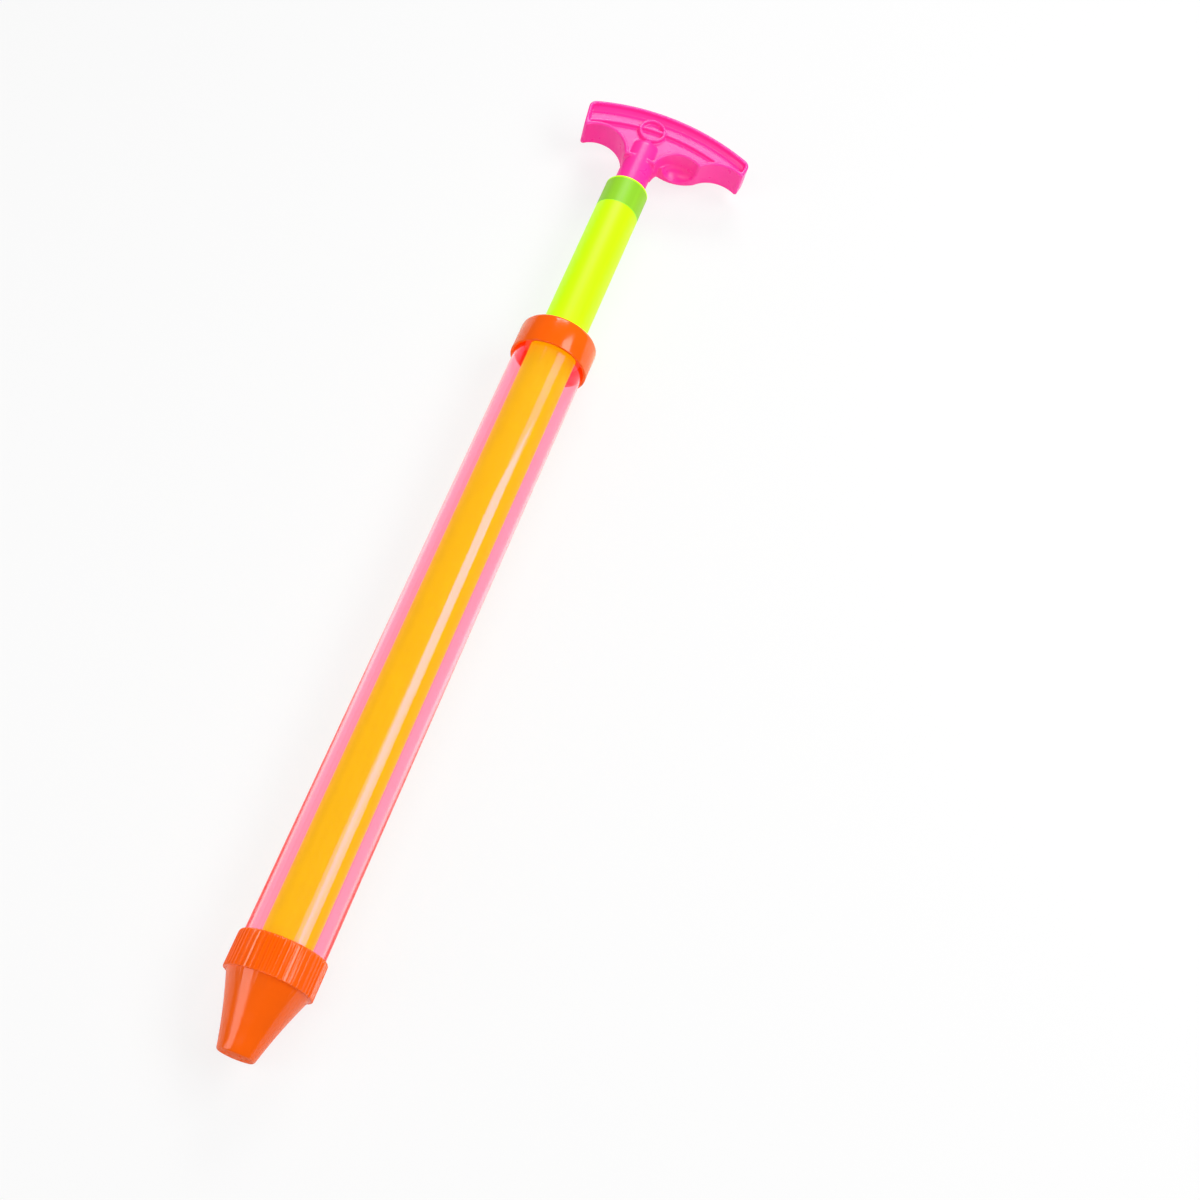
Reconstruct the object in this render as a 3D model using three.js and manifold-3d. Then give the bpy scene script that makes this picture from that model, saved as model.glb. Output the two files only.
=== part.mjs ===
// A hand-pumped water squirter lying on its two round caps.
//
// A clear barrel carries a ribbed nozzle cap at one end and a plain end cap at the other.
// A plunger runs inside it: a tube rod with a piston and sealing ring on its inner end, and
// a T-shaped grip on its outer end. Millimetres, +Z up. The pump's axis runs along +X, from
// the nozzle tip to the grip, and the finished part stands centred on the origin at Z = 0.

import * as THREE from 'three';
import { mergeVertices } from 'three/addons/utils/BufferGeometryUtils.js';
import Module from 'manifold-3d';

// Barrel
const BARREL_OD = 32;
const BARREL_WALL = 1.5;
const BARREL_LENGTH = 300;

// Fits: the gap round pieces that push or slide together, and the gap under a seated face
const SLIP_GAP = 0.3;
const SEAT_GAP = 0.2;

// Both caps
const CAP_WALL = 1.3;

// Nozzle cap
const NOZZLE_SKIRT_LENGTH = 14.5;
const NOZZLE_EDGE_ROUND = 1.5;
const RIB_COUNT = 50;
const RIB_HEIGHT = 0.5;
const RIB_CREST_SHARE = 0.26;
const RIB_FOOT_SHARE = 0.6;
const CONE_LENGTH = 27.5;
const CONE_STEP = 1.4;
const CONE_HOLLOW = 0.55;
const CONE_WALL = 2;
const TIP_D = 14.6;
const TIP_ROUND = 0.7;
const TIP_PLATE = 2;
const SPRAY_COUNT = 6;
const SPRAY_HOLE_D = 1.6;
const SPRAY_CIRCLE_D = 9;
const SHELF_THICKNESS = 1.2;

// Sealing washer under the barrel's nozzle end
const GASKET_THICKNESS = 1.5;
const GASKET_WIDTH = 2.4;

// End cap
const END_SKIRT_LENGTH = 12.7;
const END_PLATE = 2.5;
const END_EDGE_ROUND = 2;
const LIP_ROUND = 0.4;
const GUIDE_LENGTH = 8;
const GUIDE_WALL = 2;

// Plunger rod, and the piston on its inner end
const ROD_OD = 20.4;
const ROD_WALL = 1.3;
const ROD_LENGTH = 382;
const PUSHED_IN_GAP = 0.5;
const PISTON_LENGTH = 10.5;
const PISTON_CORE_D = 17;
const PISTON_CORE_DEPTH = 7;
const SPIGOT_LENGTH = 14;
const SPIGOT_WALL = 1.8;
const RING_SECTION = 2.6;
const RING_SIDE_GAP = 0.4;
const RING_RUNNING_GAP = 0.15;

// Plug in the rod's outer end, with the socket that takes the grip's peg
const PLUG_LENGTH = 15.3;
const PEG_D = 10;
const PEG_LENGTH = 12;
const PEG_CHAMFER = 0.8;

// Grip, measured across from the pump's axis and up from the rod's outer end
const PLUNGER_TURN_DEG = 4;
const GRIP_LENGTH = 81.2;
const GRIP_THICKNESS = 14;
const GRIP_HEIGHT = 45.2;
const GRIP_OFFSET = 8.1;
const GRIP_EDGE = 0.7;
const ARCH_RADIUS = 100;
const ARCH_CORNER = 4.2;
const END_LEAN_DEG = 7.5;
const FOOT_ROUND = 1.2;
const STEM_D = 15;
const STEM_REACH = 27.4;
const STEM_END_ROUND = 3;
const BAR_FOOT = 18.5;
const SINGLE_SCALLOP_R = 12.8;
const SINGLE_SCALLOP_TOP = 25.5;
const INNER_SCALLOP_R = 12;
const INNER_SCALLOP_TOP = 25.9;
const OUTER_SCALLOP_R = 15;
const OUTER_SCALLOP_TOP = 29.5;
const FINGER_PITCH = 19.6;

// Recessed panels of the grip, with their rib and ring
const RIM_WIDTH = 1.8;
const ARCH_RIM_WIDTH = 1.6;
const UPPER_PANEL_DEPTH = 3.4;
const UPPER_PANEL_SLOPE = 1.9;
const LOWER_PANEL_DEPTH = 2.2;
const RIB_WIDTH = 1.5;
const RIB_TOP = 34.9;
const RIB_ARC_RADIUS = 85;
const RIB_DROP = 0.6;
const RING_OD = 13;
const RING_WALL = 1.4;
const RING_HEIGHT = 33.8;
const RING_DROP = 0.3;

// Web across the lower half of the long arm's inner scallop, and the dish in its upper side
const WEB_RADIUS = 20.1;
const WEB_DEPTH = 6.5;
const WEB_SHIFT = 4.9;
const DISH_LENGTH = 17;
const DISH_DEPTH = 5.5;

// Facets of round forms, and the overshoot of a cutting solid past the face it cuts
const ROUND = 60;
const SMALL_ROUND = 12;
const RING_SIDES = 8;
const EDGE_STEPS = 2;
const CURVE_STEPS = 5;
const OVERCUT = 1;

// Radii that the pieces share
const barrelOuter = BARREL_OD / 2;
const barrelInner = barrelOuter - BARREL_WALL;
const capBore = barrelOuter + SLIP_GAP;
const capOuter = capBore + CAP_WALL;
const pistonRadius = barrelInner - SLIP_GAP;
const rodOuter = ROD_OD / 2;
const rodInner = rodOuter - ROD_WALL;
const rodFill = rodInner - SLIP_GAP;
const stemRadius = STEM_D / 2;
const pegRadius = PEG_D / 2;
const halfGrip = GRIP_THICKNESS / 2;

// Stations along the axis, from the nozzle tip
const skirtTop = CONE_LENGTH + NOZZLE_SKIRT_LENGTH;
const shelf = CONE_LENGTH + SHELF_THICKNESS;
const gasketStart = shelf + SEAT_GAP;
const barrelStart = gasketStart + GASKET_THICKNESS + SEAT_GAP;
const barrelEnd = barrelStart + BARREL_LENGTH;
const plateStart = barrelEnd + SEAT_GAP;
const endCapTop = plateStart + END_PLATE;
const lipStart = plateStart - END_SKIRT_LENGTH;
const pistonStart = gasketStart + GASKET_THICKNESS + PUSHED_IN_GAP;
const pistonTop = pistonStart + PISTON_LENGTH;
const ringStation = pistonStart + PISTON_LENGTH / 2;
const rodStart = pistonTop + SEAT_GAP;
const rodEnd = rodStart + ROD_LENGTH;
const plugStart = rodEnd - PLUG_LENGTH;
const stemStart = rodEnd + SEAT_GAP;

const wasm = await Module();
wasm.setup();

// A closed geometry as a solid that can be joined and cut, without the empty triangles that
// a turned profile leaves on its axis.
function solidOf(geometry) {
  const bare = geometry.clone();
  bare.deleteAttribute('normal');
  bare.deleteAttribute('uv');
  const merged = mergeVertices(bare);
  const corners = merged.index.array;
  const triangles = [];
  for (let at = 0; at < corners.length; at += 3) {
    const [a, b, c] = corners.slice(at, at + 3);
    if (a !== b && b !== c && c !== a) {
      triangles.push(a, b, c);
    }
  }
  return new wasm.Manifold(new wasm.Mesh({
    numProp: 3,
    vertProperties: new Float32Array(merged.attributes.position.array),
    triVerts: new Uint32Array(triangles),
  }));
}

// A solid back as a geometry that a mesh can hold.
function geometryOf(solid) {
  const { vertProperties, triVerts } = solid.getMesh();
  const geometry = new THREE.BufferGeometry();
  geometry.setAttribute('position', new THREE.BufferAttribute(vertProperties, 3));
  geometry.setIndex(new THREE.BufferAttribute(triVerts, 1));
  geometry.computeVertexNormals();
  return geometry;
}

// A profile drawn as (radius, station), counter-clockwise, turned about the pump's axis.
function revolve(profile, segments = ROUND, steps = EDGE_STEPS) {
  const lathe = new THREE.LatheGeometry(profile.getPoints(steps), segments);
  return lathe.rotateZ(-Math.PI / 2);
}

// A plain cylinder on the pump's axis.
function drum(radius, start, end, segments = ROUND) {
  const profile = new THREE.Path();
  profile.moveTo(0, start).lineTo(radius, start).lineTo(radius, end).lineTo(0, end);
  return revolve(profile, segments);
}

// A plain tube on the pump's axis.
function tube(inner, outer, start, end, segments = ROUND) {
  const profile = new THREE.Path();
  profile.moveTo(inner, start).lineTo(outer, start).lineTo(outer, end).lineTo(inner, end);
  profile.closePath();
  return revolve(profile, segments);
}

// A shape drawn as (across, station), extruded through the grip between two heights.
function throughGrip(shape, low, high, edge = 0, edgeSteps = 1) {
  const geometry = new THREE.ExtrudeGeometry(shape, {
    depth: high - low - 2 * edge,
    curveSegments: CURVE_STEPS,
    bevelEnabled: edge > 0,
    bevelThickness: edge,
    bevelSize: edge,
    bevelOffset: -edge,
    bevelSegments: edgeSteps,
  });
  return geometry.translate(0, 0, low + edge);
}

// Nozzle cap: a ribbed skirt over the barrel's end, and a cone that ends in a spray plate.
function ribbedSkirt() {
  const root = capOuter - RIB_HEIGHT;
  const pitch = 2 * Math.PI / RIB_COUNT;
  const crest = RIB_CREST_SHARE / 2;
  const foot = RIB_FOOT_SHARE / 2;
  const flanks = [[-foot, root], [-crest, capOuter], [crest, capOuter], [foot, root]];
  const outline = [];
  for (let rib = 0; rib < RIB_COUNT; rib += 1) {
    for (const [share, radius] of flanks) {
      const angle = pitch * (rib + share);
      outline.push(new THREE.Vector2(radius * Math.cos(angle), radius * Math.sin(angle)));
    }
  }
  const ribs = new THREE.ExtrudeGeometry(new THREE.Shape(outline), {
    depth: NOZZLE_SKIRT_LENGTH,
    bevelEnabled: false,
  });
  ribs.rotateY(Math.PI / 2).translate(CONE_LENGTH, 0, 0);

  const round = NOZZLE_EDGE_ROUND;
  const envelope = new THREE.Path();
  envelope.moveTo(0, CONE_LENGTH - OVERCUT).lineTo(capOuter + OVERCUT, CONE_LENGTH - OVERCUT);
  envelope.lineTo(capOuter + OVERCUT, skirtTop - round).lineTo(capOuter, skirtTop - round);
  envelope.absarc(capOuter - round, skirtTop - round, round, 0, Math.PI / 2);
  envelope.lineTo(0, skirtTop);
  return solidOf(ribs).intersect(solidOf(revolve(envelope, 2 * RIB_COUNT, 1)));
}

function nozzleCap() {
  const tip = TIP_D / 2;
  const coneTop = capOuter - CONE_STEP;
  const middle = (tip + coneTop) / 2 - 2 * CONE_HOLLOW;
  const cone = new THREE.Path();
  cone.moveTo(0, 0).lineTo(tip - TIP_ROUND, 0);
  cone.quadraticCurveTo(tip, 0, tip, TIP_ROUND);
  cone.quadraticCurveTo(middle, CONE_LENGTH / 2, coneTop, CONE_LENGTH);
  cone.lineTo(coneTop, CONE_LENGTH + OVERCUT).lineTo(0, CONE_LENGTH + OVERCUT);

  const chamberTop = barrelInner - (GASKET_WIDTH - BARREL_WALL);
  const cavity = new THREE.Path();
  cavity.moveTo(0, TIP_PLATE).lineTo(tip - CONE_WALL, TIP_PLATE);
  cavity.quadraticCurveTo(middle - CONE_WALL, CONE_LENGTH / 2, chamberTop, CONE_LENGTH);
  cavity.lineTo(chamberTop, shelf).lineTo(capBore, shelf);
  cavity.lineTo(capBore, skirtTop + OVERCUT).lineTo(0, skirtTop + OVERCUT);

  let cap = solidOf(revolve(cone, ROUND, CURVE_STEPS)).add(ribbedSkirt());
  cap = cap.subtract(solidOf(revolve(cavity)));
  for (let hole = 0; hole < SPRAY_COUNT; hole += 1) {
    const angle = 2 * Math.PI * hole / SPRAY_COUNT;
    const drill = drum(SPRAY_HOLE_D / 2, -OVERCUT, TIP_PLATE + OVERCUT, SMALL_ROUND);
    drill.translate(0, SPRAY_CIRCLE_D / 2 * Math.cos(angle), SPRAY_CIRCLE_D / 2 * Math.sin(angle));
    cap = cap.subtract(solidOf(drill));
  }
  return geometryOf(cap);
}

// Flat washer between the nozzle cap's shelf and the barrel's end.
function nozzleGasket() {
  const outer = barrelOuter;
  return tube(outer - GASKET_WIDTH, outer, gasketStart, gasketStart + GASKET_THICKNESS);
}

function barrelTube() {
  return tube(barrelInner, barrelOuter, barrelStart, barrelEnd);
}

// End cap: a skirt with a rounded rim, a plate with the rod's hole, and a guide collar inside.
function endCap() {
  const hole = rodOuter + SLIP_GAP;
  const guideStart = plateStart - GUIDE_LENGTH;
  const round = END_EDGE_ROUND;
  const profile = new THREE.Path();
  profile.moveTo(capBore, lipStart).lineTo(capOuter - LIP_ROUND, lipStart);
  profile.quadraticCurveTo(capOuter, lipStart, capOuter, lipStart + LIP_ROUND);
  profile.lineTo(capOuter, endCapTop - round);
  profile.absarc(capOuter - round, endCapTop - round, round, 0, Math.PI / 2);
  profile.lineTo(hole, endCapTop).lineTo(hole, guideStart);
  profile.lineTo(hole + GUIDE_WALL, guideStart).lineTo(hole + GUIDE_WALL, plateStart);
  profile.lineTo(capBore, plateStart);
  profile.closePath();
  return revolve(profile);
}

function rodTube() {
  return tube(rodInner, rodOuter, rodStart, rodEnd);
}

// Piston: a cored head with the ring's groove, and a hollow spigot that fills the rod's end.
function piston() {
  const groove = barrelInner - RING_RUNNING_GAP - RING_SECTION - SEAT_GAP;
  const grooveHalf = (RING_SECTION + RING_SIDE_GAP) / 2;
  const spigotTop = rodStart + SPIGOT_LENGTH;
  const spigotInner = rodFill - SPIGOT_WALL;
  const coreTop = pistonStart + PISTON_CORE_DEPTH;
  const core = PISTON_CORE_D / 2;
  const profile = new THREE.Path();
  profile.moveTo(0, coreTop).lineTo(core, coreTop).lineTo(core, pistonStart);
  profile.lineTo(pistonRadius, pistonStart).lineTo(pistonRadius, ringStation - grooveHalf);
  profile.lineTo(groove, ringStation - grooveHalf).lineTo(groove, ringStation + grooveHalf);
  profile.lineTo(pistonRadius, ringStation + grooveHalf).lineTo(pistonRadius, pistonTop);
  profile.lineTo(rodFill, pistonTop).lineTo(rodFill, spigotTop).lineTo(spigotInner, spigotTop);
  profile.lineTo(spigotInner, pistonTop).lineTo(0, pistonTop);
  return revolve(profile);
}

function pistonRing() {
  const middle = barrelInner - RING_RUNNING_GAP - RING_SECTION / 2;
  const ring = new THREE.TorusGeometry(middle, RING_SECTION / 2, RING_SIDES, ROUND);
  return ring.rotateY(Math.PI / 2).translate(ringStation, 0, 0);
}

// Plug: fills the rod's outer end and takes the grip's peg.
function rodPlug() {
  const socket = pegRadius + SLIP_GAP;
  const socketFloor = rodEnd - PEG_LENGTH - SEAT_GAP;
  const profile = new THREE.Path();
  profile.moveTo(0, plugStart).lineTo(rodFill, plugStart).lineTo(rodFill, rodEnd);
  profile.lineTo(socket, rodEnd).lineTo(socket, socketFloor).lineTo(0, socketFloor);
  return revolve(profile);
}

// Grip outline, drawn in by an inset: an arched back, leaning ends and three finger scallops.
// Each scallop beside the stem is tangent to it, and two lie side by side on the long arm.
const scallops = {
  single: { across: -(stemRadius + SINGLE_SCALLOP_R), top: SINGLE_SCALLOP_TOP, radius: SINGLE_SCALLOP_R },
  inner: { across: stemRadius + INNER_SCALLOP_R, top: INNER_SCALLOP_TOP, radius: INNER_SCALLOP_R },
  outer: {
    across: stemRadius + INNER_SCALLOP_R + FINGER_PITCH,
    top: OUTER_SCALLOP_TOP,
    radius: OUTER_SCALLOP_R,
  },
};

function scallopCircle({ across, top, radius }, inset) {
  return { x: across, y: stemStart + top - radius, r: radius + inset };
}

// Angle on a circle, from its own side towards the top, at a station up the pump's axis.
function angleUp(circle, station) {
  return Math.asin(THREE.MathUtils.clamp((station - circle.y) / circle.r, 0, 1));
}

// Upper crossing of two circles that lie side by side.
function crossing(left, right) {
  const gap = Math.hypot(right.x - left.x, right.y - left.y);
  const along = (gap * gap + left.r * left.r - right.r * right.r) / (2 * gap);
  const up = Math.sqrt(Math.max(left.r * left.r - along * along, 0));
  const dx = (right.x - left.x) / gap;
  const dy = (right.y - left.y) / gap;
  return { x: left.x + along * dx - up * dy, y: left.y + along * dy + up * dx };
}

// Centre of the round at the foot of a leaning end, where it meets a scallop. Side is +1 or -1.
function footCentre(shoulder, side, scallop) {
  const lean = THREE.MathUtils.degToRad(END_LEAN_DEG);
  const across = shoulder.x - side * FOOT_ROUND * Math.cos(lean) - scallop.x;
  const up = shoulder.y + FOOT_ROUND * Math.sin(lean) - scallop.y;
  const reach = scallop.r + FOOT_ROUND;
  const fall = across * side * Math.sin(lean) + up * Math.cos(lean);
  const drop = fall - Math.sqrt(Math.max(fall * fall - across * across - up * up + reach * reach, 0));
  return {
    x: scallop.x + across - side * drop * Math.sin(lean),
    y: scallop.y + up - drop * Math.cos(lean),
  };
}

function bearing(from, to) {
  return Math.atan2(to.y - from.y, to.x - from.x);
}

function gripOutline(inset) {
  const lean = THREE.MathUtils.degToRad(END_LEAN_DEG);
  const half = GRIP_LENGTH / 2 - inset;
  const arch = { x: GRIP_OFFSET, y: stemStart + GRIP_HEIGHT - ARCH_RADIUS, r: ARCH_RADIUS - inset };
  const single = scallopCircle(scallops.single, inset);
  const inner = scallopCircle(scallops.inner, inset);
  const outer = scallopCircle(scallops.outer, inset);
  const corner = Math.max(ARCH_CORNER - inset, FOOT_ROUND);

  const shoulderUp = arch.y + Math.sqrt(arch.r * arch.r - half * half);
  const longShoulder = { x: GRIP_OFFSET + half, y: shoulderUp };
  const shortShoulder = { x: GRIP_OFFSET - half, y: shoulderUp };
  const turn = Math.asin(half / arch.r) - corner / arch.r;
  const longFoot = footCentre(longShoulder, 1, outer);
  const shortFoot = footCentre(shortShoulder, -1, single);
  const barFoot = stemStart + BAR_FOOT + inset;
  const cusp = crossing(
    { x: inner.x, y: inner.y, r: inner.r + FOOT_ROUND },
    { x: outer.x, y: outer.y, r: outer.r + FOOT_ROUND },
  );
  const sideways = corner * Math.sin(lean);
  const downward = corner * Math.cos(lean);

  const shape = new THREE.Shape();
  shape.absarc(longFoot.x, longFoot.y, FOOT_ROUND, bearing(longFoot, outer), -lean);
  shape.lineTo(longShoulder.x - sideways, shoulderUp - downward);
  shape.quadraticCurveTo(
    longShoulder.x,
    shoulderUp,
    arch.x + arch.r * Math.sin(turn),
    arch.y + arch.r * Math.cos(turn),
  );
  shape.absarc(arch.x, arch.y, arch.r, Math.PI / 2 - turn, Math.PI / 2 + turn);
  shape.quadraticCurveTo(
    shortShoulder.x,
    shoulderUp,
    shortShoulder.x + sideways,
    shoulderUp - downward,
  );
  const shortContact = bearing(shortFoot, single) + 2 * Math.PI;
  shape.absarc(shortFoot.x, shortFoot.y, FOOT_ROUND, Math.PI + lean, shortContact);
  shape.absarc(single.x, single.y, single.r, bearing(single, shortFoot), angleUp(single, barFoot), true);
  const innerStart = Math.PI - angleUp(inner, barFoot);
  shape.absarc(inner.x, inner.y, inner.r, innerStart, bearing(inner, cusp), true);
  shape.absarc(cusp.x, cusp.y, FOOT_ROUND, bearing(cusp, inner), bearing(cusp, outer));
  shape.absarc(outer.x, outer.y, outer.r, bearing(outer, cusp), bearing(outer, longFoot), true);
  return shape;
}

// Everything under the arched back's rim, past the ends and foot of the grip, which trim it.
function underArch() {
  const radius = ARCH_RADIUS - ARCH_RIM_WIDTH;
  const reach = GRIP_LENGTH / 2 + UPPER_PANEL_SLOPE;
  const turn = Math.asin(reach / radius);
  const station = stemStart + GRIP_HEIGHT - ARCH_RADIUS;
  const shape = new THREE.Shape();
  shape.absarc(GRIP_OFFSET, station, radius, Math.PI / 2 - turn, Math.PI / 2 + turn);
  shape.lineTo(GRIP_OFFSET - reach, stemStart).lineTo(GRIP_OFFSET + reach, stemStart);
  return shape;
}

function disc(across, station, radius, low, high, segments) {
  const shape = new THREE.Shape();
  shape.absarc(across, station, radius, 0, 2 * Math.PI);
  const depth = high - low;
  const geometry = new THREE.ExtrudeGeometry(shape, {
    depth,
    curveSegments: segments / 2,
    bevelEnabled: false,
  });
  return solidOf(geometry.translate(0, 0, low));
}

// The solids that sink the panels into one face of the grip. Side is +1 or -1.
function panelCutters(side) {
  const between = (deep, shallow) => (side > 0 ? [deep, shallow] : [-shallow, -deep]);
  const out = halfGrip + OVERCUT;
  const ringStationUp = stemStart + RING_HEIGHT;
  const ribStation = stemStart + RIB_TOP - RIB_ARC_RADIUS;
  const ribInner = RIB_ARC_RADIUS - RIB_WIDTH / 2;
  const ribOuter = RIB_ARC_RADIUS + RIB_WIDTH / 2;
  const ringOuter = RING_OD / 2;
  const span = between(halfGrip - UPPER_PANEL_DEPTH, out);
  const lowSpan = between(halfGrip - LOWER_PANEL_DEPTH, out);
  const ribSpan = between(halfGrip - RIB_DROP, out);
  const ringSpan = between(halfGrip - RING_DROP, out);
  const wholeRing = between(0, out + OVERCUT);
  const inside = gripOutline(RIM_WIDTH);

  const ringPillar = disc(0, ringStationUp, ringOuter, ...wholeRing, 3 * SMALL_ROUND);
  const ringHollow = disc(0, ringStationUp, ringOuter - RING_WALL, ...lowSpan, 3 * SMALL_ROUND);
  const belowRib = disc(GRIP_OFFSET, ribStation, ribInner, ...wholeRing, 2 * ROUND);
  const aboveRib = disc(GRIP_OFFSET, ribStation, ribOuter, ...wholeRing, 2 * ROUND);
  const ribBand = aboveRib.subtract(belowRib);

  const slopedSpan = between(halfGrip - UPPER_PANEL_DEPTH, out + UPPER_PANEL_SLOPE);
  const sloped = solidOf(throughGrip(underArch(), ...slopedSpan, UPPER_PANEL_SLOPE));
  const upper = sloped.intersect(solidOf(throughGrip(inside, ...span))).subtract(aboveRib);
  const lower = solidOf(throughGrip(inside, ...lowSpan)).intersect(belowRib);
  const ribTop = solidOf(throughGrip(inside, ...ribSpan));
  const ringTop = disc(0, ringStationUp, ringOuter, ...ringSpan, 3 * SMALL_ROUND);
  const panels = upper.add(lower).add(ribTop).subtract(ringPillar);
  return panels.add(ringHollow.subtract(ribBand)).add(ringTop);
}

// Web whose foot bows from the stem to the cusp between the long arm's scallops. Its edge runs
// on into the bar, and its dish starts at the scallop's top.
function scallopWeb() {
  const scallop = scallopCircle(scallops.inner, OVERCUT);
  const foot = stemStart + INNER_SCALLOP_TOP - WEB_DEPTH;
  const bow = disc(scallop.x - WEB_SHIFT, foot + WEB_RADIUS, WEB_RADIUS, -halfGrip, 0, 2 * ROUND);
  const fill = disc(scallop.x, scallop.y, scallop.r, -halfGrip, 0, ROUND);
  const dish = new THREE.SphereGeometry(1, 2 * SMALL_ROUND, SMALL_ROUND);
  dish.scale(DISH_LENGTH / 2, WEB_DEPTH, DISH_DEPTH).translate(scallop.x, foot, 0);
  return bow.intersect(fill).subtract(solidOf(dish));
}

// Grip: the moulded bar, its round stem and the peg that enters the rod's plug.
function grip() {
  const bar = throughGrip(gripOutline(0), -halfGrip, halfGrip, GRIP_EDGE, EDGE_STEPS);
  const webbed = solidOf(bar).add(scallopWeb());
  const panelled = webbed.subtract(panelCutters(1)).subtract(panelCutters(-1));

  const stemTop = stemStart + STEM_REACH;
  const pegTip = stemStart - PEG_LENGTH;
  const stem = new THREE.Path();
  stem.moveTo(0, pegTip).lineTo(pegRadius - PEG_CHAMFER, pegTip);
  stem.lineTo(pegRadius, pegTip + PEG_CHAMFER).lineTo(pegRadius, stemStart);
  stem.lineTo(stemRadius, stemStart).lineTo(stemRadius, stemTop - STEM_END_ROUND);
  stem.quadraticCurveTo(stemRadius, stemTop, stemRadius - STEM_END_ROUND, stemTop);
  stem.lineTo(0, stemTop);
  const stemSolid = solidOf(revolve(stem, ROUND));

  // The bar is drawn as (across, station, height): turn it so that its long arm points to -Y.
  const turned = geometryOf(panelled).rotateZ(-Math.PI / 2);
  return geometryOf(solidOf(turned).add(stemSolid));
}

function plastic(color, roughness, opacity = 1) {
  return new THREE.MeshStandardMaterial({
    color,
    roughness,
    metalness: 0,
    opacity,
    transparent: opacity < 1,
  });
}

function piece(name, geometry, material) {
  const mesh = new THREE.Mesh(geometry, material);
  mesh.name = name;
  return mesh;
}

const ORANGE = 0xff640a;
const PINK = 0xff3caa;
const CLEAR_PINK = 0xff9bbe;
const LIME = 0xd4ff00;
const PLUG_GREEN = 0x96dc28;
const RUBBER = 0x2a2a2c;

const plunger = new THREE.Group();
plunger.add(
  piece('rod_tube', rodTube(), plastic(LIME, 0.25)),
  piece('rod_plug', rodPlug(), plastic(PLUG_GREEN, 0.45)),
  piece('piston', piston(), plastic(ORANGE, 0.4)),
  piece('grip_handle', grip(), plastic(PINK, 0.4)),
);
plunger.rotation.x = THREE.MathUtils.degToRad(PLUNGER_TURN_DEG);

const pump = new THREE.Group();
pump.add(
  piece('barrel_tube', barrelTube(), plastic(CLEAR_PINK, 0.1, 0.5)),
  piece('nozzle_cap', nozzleCap(), plastic(ORANGE, 0.35)),
  piece('nozzle_gasket', nozzleGasket(), plastic(RUBBER, 0.8)),
  piece('end_cap', endCap(), plastic(ORANGE, 0.35)),
  piece('piston_ring', pistonRing(), plastic(RUBBER, 0.7)),
  plunger,
);

// Stand the pump on Z = 0 with its box centred on the origin.
const box = new THREE.Box3().setFromObject(pump, true);
const centre = box.getCenter(new THREE.Vector3());
pump.position.set(-centre.x, -centre.y, -box.min.z);

const squirter = new THREE.Group();
squirter.add(pump);

export default squirter;
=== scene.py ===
"""Dresses a hand-pumped water squirter: smooth tubes, ribbed caps and a moulded grip.

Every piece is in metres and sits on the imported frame. Stations run along +X from the nozzle
tip to the grip, and each piece rides on the body of the frame that carries it.
"""

import math

import bmesh
import bpy
from mathutils import Matrix, Vector


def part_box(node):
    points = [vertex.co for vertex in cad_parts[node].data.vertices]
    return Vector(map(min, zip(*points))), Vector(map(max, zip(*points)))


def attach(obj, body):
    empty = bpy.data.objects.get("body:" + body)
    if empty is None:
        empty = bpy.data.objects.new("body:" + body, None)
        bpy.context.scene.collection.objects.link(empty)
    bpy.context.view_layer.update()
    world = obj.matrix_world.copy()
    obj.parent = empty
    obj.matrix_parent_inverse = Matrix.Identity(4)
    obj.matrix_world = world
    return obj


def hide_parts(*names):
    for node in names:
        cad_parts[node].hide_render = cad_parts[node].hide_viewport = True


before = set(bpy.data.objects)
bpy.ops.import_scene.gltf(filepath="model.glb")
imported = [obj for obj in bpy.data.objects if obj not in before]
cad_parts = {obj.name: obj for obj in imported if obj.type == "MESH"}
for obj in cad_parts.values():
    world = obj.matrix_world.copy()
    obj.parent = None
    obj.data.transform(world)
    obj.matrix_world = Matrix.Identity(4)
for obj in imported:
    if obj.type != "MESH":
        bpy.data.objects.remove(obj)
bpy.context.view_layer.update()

bl_info = {
    "name": "Water Squirter",
    "version": (1, 0, 0),
    "blender": (4, 5, 0),
    "location": "View3D > Sidebar > Squirter",
    "description": "Models a hand-pumped water squirter piece by piece on its frame",
    "category": "Add Mesh",
}

MM = 0.001


def node_ends(node):
    """Stations where a node starts and ends along the pump's axis."""
    low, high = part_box(node)
    return low.x, high.x


def node_radius(node):
    """Outer radius of a round node."""
    low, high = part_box(node)
    return (high.z - low.z) / 2


BARREL_LOW, BARREL_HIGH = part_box("barrel_tube")
AXIS_Y = (BARREL_LOW.y + BARREL_HIGH.y) / 2
AXIS_Z = (BARREL_LOW.z + BARREL_HIGH.z) / 2
TIP_X, SKIRT_X = node_ends("nozzle_cap")
LIP_X, END_CAP_X = node_ends("end_cap")
BARREL_X = node_ends("barrel_tube")
GASKET_X = node_ends("nozzle_gasket")
ROD_X = node_ends("rod_tube")
PLUG_X = node_ends("rod_plug")
PISTON_X = node_ends("piston")
RING_X = node_ends("piston_ring")
BARREL_RADIUS = node_radius("barrel_tube")
CAP_RADIUS = node_radius("end_cap")


def length(name, millimetres, description):
    """A size that a user may change, given in millimetres and kept in metres."""
    return bpy.props.FloatProperty(
        name=name,
        description=description,
        default=millimetres * MM,
        min=0.0,
        precision=5,
        subtype="DISTANCE",
        unit="LENGTH",
    )


def colour(name, default, description):
    """A colour that a user may change."""
    return bpy.props.FloatVectorProperty(
        name=name,
        description=description,
        default=default,
        size=3,
        min=0.0,
        max=1.0,
        subtype="COLOR",
    )


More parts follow.
